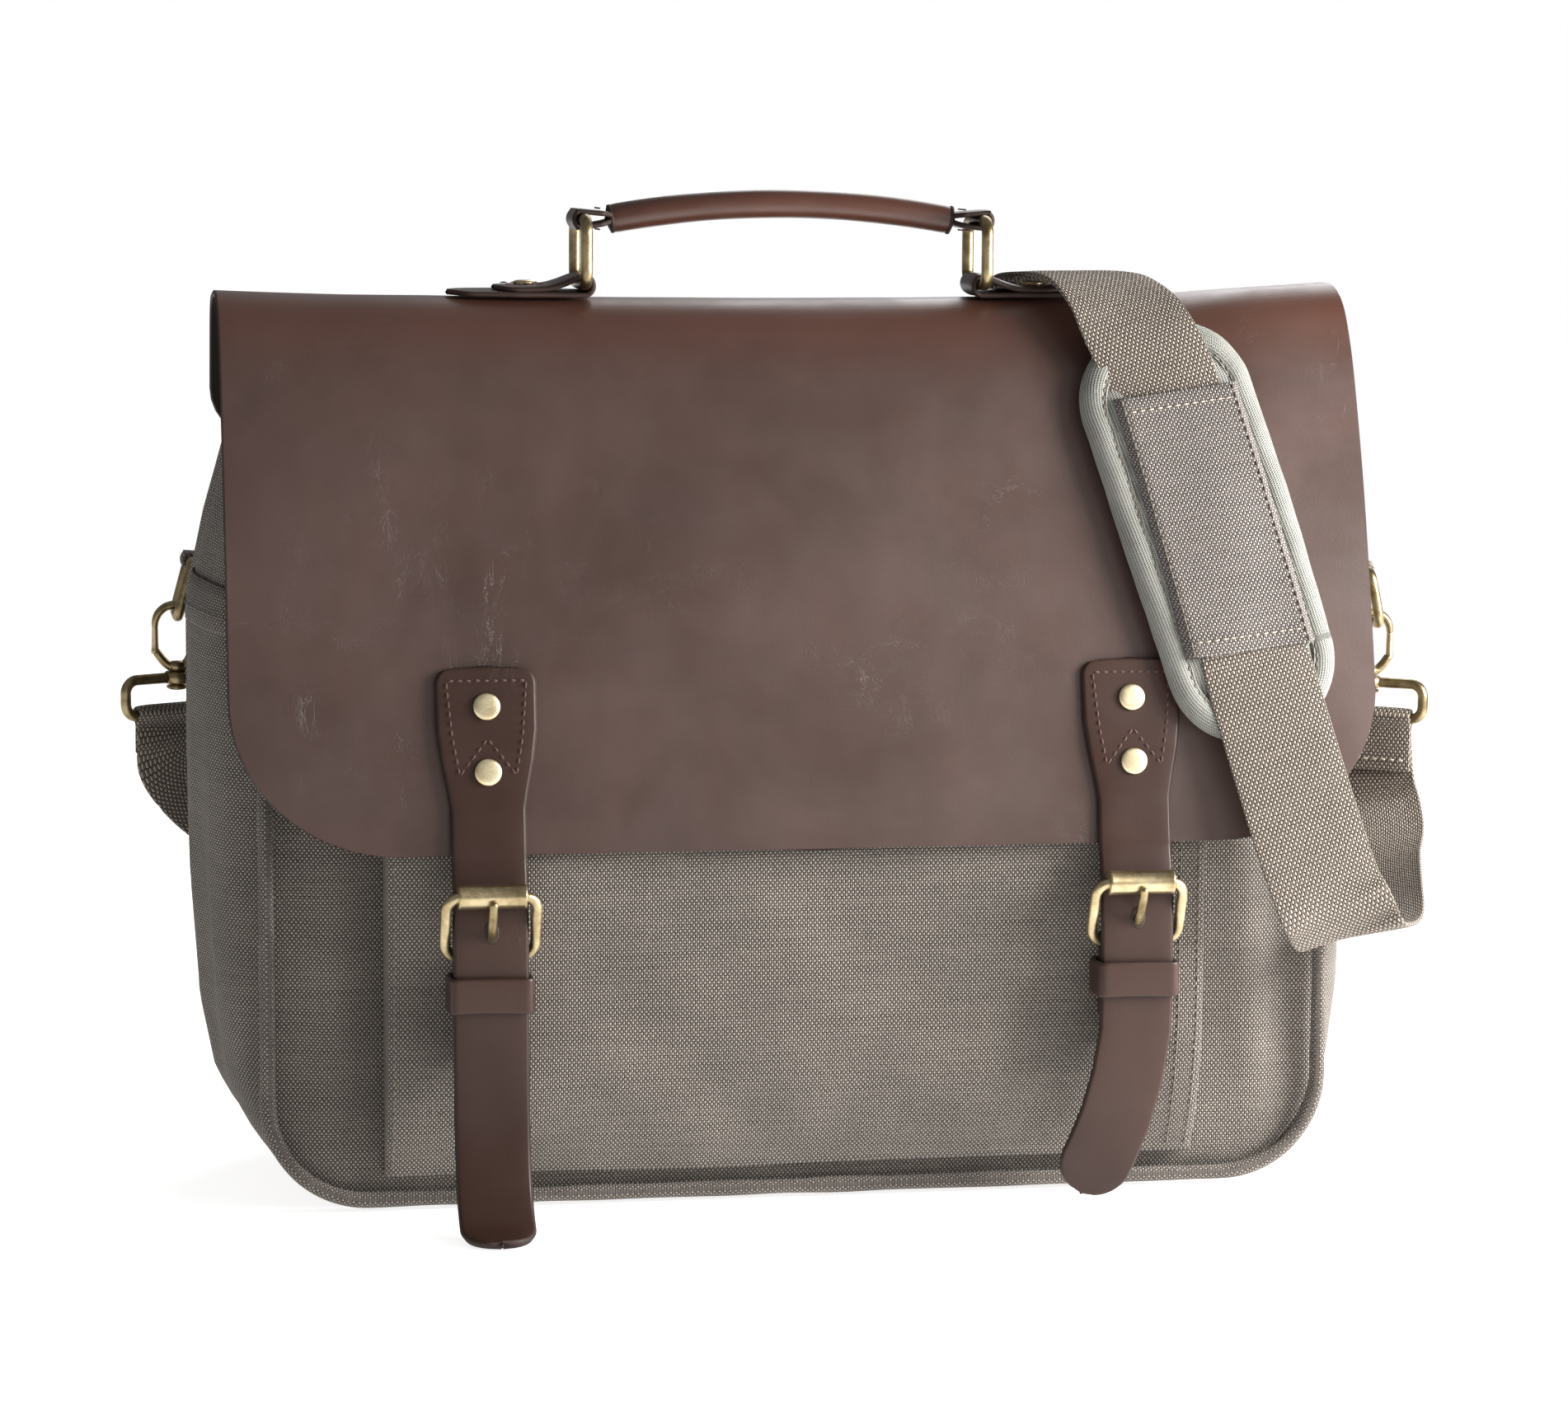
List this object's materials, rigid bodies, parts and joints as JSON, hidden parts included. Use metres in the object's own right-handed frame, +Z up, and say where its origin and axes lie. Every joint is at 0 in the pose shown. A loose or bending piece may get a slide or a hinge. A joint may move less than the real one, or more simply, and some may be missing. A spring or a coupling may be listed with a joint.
{
  "type": "satchel bag",
  "caption": "Canvas satchel with a leather flap, buckled closing straps, a top carrying handle on rings and a clip-on shoulder strap with a pad.",
  "frame": {"origin": "centre of the bag's base, on the ground", "axes": "+X to the right seen from the front, +Y towards the back panel, +Z up"},
  "size_m": [0.4789, 0.2063, 0.349],
  "materials": {
    "canvas": "woven matte",
    "flap_leather": "satin",
    "strap_leather": "satin",
    "keeper_leather": "satin",
    "webbing": "coarse woven",
    "pad_mesh": "mesh",
    "lining": "fine woven",
    "board": "matte",
    "brass": "antique satin"
  },
  "bodies": {
    "bag": {"back_panel": "canvas", "front_panel": "canvas", "gusset_left": "canvas", "gusset_right": "canvas", "base_panel": "canvas", "base_board": "board", "lining": "lining", "laptop_divider": "lining", "front_pocket": "canvas", "front_piping": "canvas", "back_piping": "canvas", "flap_yoke": "flap_leather", "snap_socket_left": "brass", "snap_socket_right": "brass", "ring_anchor_left": "strap_leather", "ring_anchor_right": "strap_leather", "strap_back_run": "webbing", "strap_lower_run": "webbing", "strap_slider": "brass"},
    "flap": {"flap": "flap_leather", "buckle_strap_left": "strap_leather", "buckle_strap_right": "strap_leather", "strap_rivets_left": "brass", "strap_rivets_right": "brass", "chape_left": "strap_leather", "chape_right": "strap_leather", "buckle_left": "brass", "buckle_right": "brass", "snap_stud_left": "brass", "snap_stud_right": "brass", "handle_tab_left": "strap_leather", "handle_tab_right": "strap_leather", "tab_rivets": "brass", "strap_ridge_run": "webbing", "strap_front_run": "webbing", "shoulder_pad": "pad_mesh", "pad_sleeve": "canvas"},
    "handle_ring_left": {"handle_ring_left": "brass"},
    "handle_ring_right": {"handle_ring_right": "brass"},
    "handle": {"handle_strap": "strap_leather", "handle_grip": "strap_leather"},
    "roller_left": {"roller_left": "brass"},
    "prong_left": {"prong_left": "brass"},
    "keeper_left": {"keeper_left": "keeper_leather"},
    "side_ring_left": {"side_ring_left": "brass"},
    "hook_left": {"hook_left": "brass"},
    "gate_left": {"hook_gate_left": "brass"},
    "strap_loop_left": {"strap_loop_left": "brass", "strap_end_left": "webbing"},
    "roller_right": {"roller_right": "brass"},
    "prong_right": {"prong_right": "brass"},
    "keeper_right": {"keeper_right": "keeper_leather"},
    "side_ring_right": {"side_ring_right": "brass"},
    "hook_right": {"hook_right": "brass"},
    "gate_right": {"hook_gate_right": "brass"},
    "strap_loop_right": {"strap_loop_right": "brass", "strap_end_right": "webbing"}
  },
  "joints": [
    {"name": "flap_open", "type": "hinge", "parent": "bag", "child": "flap", "pos_m": [0, 0.0312, 0.3014], "axis": [-1, 0, 0], "range_deg": [0, 120], "deforming": ["strap_ridge_run", "strap_lower_run", "strap_back_run"]},
    {"name": "handle_tilt", "type": "hinge", "parent": "flap", "child": "handle_ring_left", "pos_m": [-0.071, 0, 0.3161], "axis": [0, 1, 0], "range_deg": [-55, 55]},
    {"name": "handle_level", "type": "hinge", "parent": "handle_ring_left", "child": "handle", "pos_m": [-0.071, 0, 0.3385], "axis": [0, 1, 0], "range_deg": [-55, 55]},
    {"name": "handle_ring_right_tilt", "type": "hinge", "parent": "flap", "child": "handle_ring_right", "pos_m": [0.071, 0, 0.3161], "axis": [0, 1, 0], "range_deg": [-55, 55]},
    {"name": "roller_spin_left", "type": "hinge", "parent": "flap", "child": "roller_left", "pos_m": [-0.112, -0.087, 0.114], "axis": [1, 0, 0], "continuous": true},
    {"name": "prong_left", "type": "hinge", "parent": "flap", "child": "prong_left", "pos_m": [-0.112, -0.0779, 0.092], "axis": [1, 0, 0], "range_deg": [0, 65]},
    {"name": "keeper_slide_left", "type": "slide", "parent": "flap", "child": "keeper_left", "axis": [0, 0, 1], "range_m": [-0.003, 0.0015]},
    {"name": "side_ring_swing_left", "type": "hinge", "parent": "bag", "child": "side_ring_left", "pos_m": [-0.2055, 0.044, 0.216], "axis": [0, 1, 0], "range_deg": [0, 45]},
    {"name": "hook_swing_left", "type": "hinge", "parent": "side_ring_left", "child": "hook_left", "pos_m": [-0.21068, 0.044, 0.19228], "axis": [0, 1, 0], "range_deg": [0, 35]},
    {"name": "gate_left", "type": "hinge", "parent": "hook_left", "child": "gate_left", "pos_m": [-0.21838, 0.044, 0.18388], "axis": [0, 1, 0], "range_deg": [0, 25], "stiffness_Nm_per_rad": 0.002, "springref_deg": -17.19},
    {"name": "swivel_left", "type": "hinge", "parent": "hook_left", "child": "strap_loop_left", "pos_m": [-0.21068, 0.044, 0.17388], "axis": [0, 0, 1], "range_deg": [0, 60], "deforming": ["strap_end_left"]},
    {"name": "roller_spin_right", "type": "hinge", "parent": "flap", "child": "roller_right", "pos_m": [0.112, -0.087, 0.114], "axis": [1, 0, 0], "continuous": true},
    {"name": "prong_right", "type": "hinge", "parent": "flap", "child": "prong_right", "pos_m": [0.112, -0.0779, 0.092], "axis": [1, 0, 0], "range_deg": [0, 65]},
    {"name": "keeper_slide_right", "type": "slide", "parent": "flap", "child": "keeper_right", "axis": [0, 0, 1], "range_m": [-0.003, 0.0015]},
    {"name": "side_ring_swing_right", "type": "hinge", "parent": "bag", "child": "side_ring_right", "pos_m": [0.2245, 0.03, 0.21], "axis": [0, -1, 0], "range_deg": [0, 45]},
    {"name": "hook_swing_right", "type": "hinge", "parent": "side_ring_right", "child": "hook_right", "pos_m": [0.22866, 0.03, 0.18604], "axis": [0, -1, 0], "range_deg": [0, 35]},
    {"name": "gate_right", "type": "hinge", "parent": "hook_right", "child": "gate_right", "pos_m": [0.23636, 0.03, 0.17764], "axis": [0, -1, 0], "range_deg": [0, 25], "stiffness_Nm_per_rad": 0.002, "springref_deg": -17.19},
    {"name": "swivel_right", "type": "hinge", "parent": "hook_right", "child": "strap_loop_right", "pos_m": [0.22866, 0.03, 0.16764], "axis": [0, 0, -1], "range_deg": [0, 60], "deforming": ["strap_end_right"]}
  ],
  "couplings": [
    {"joint": "handle_level", "follows": "handle_tilt", "ratio": -1},
    {"joint": "handle_ring_right_tilt", "follows": "handle_tilt", "ratio": 1}
  ]
}
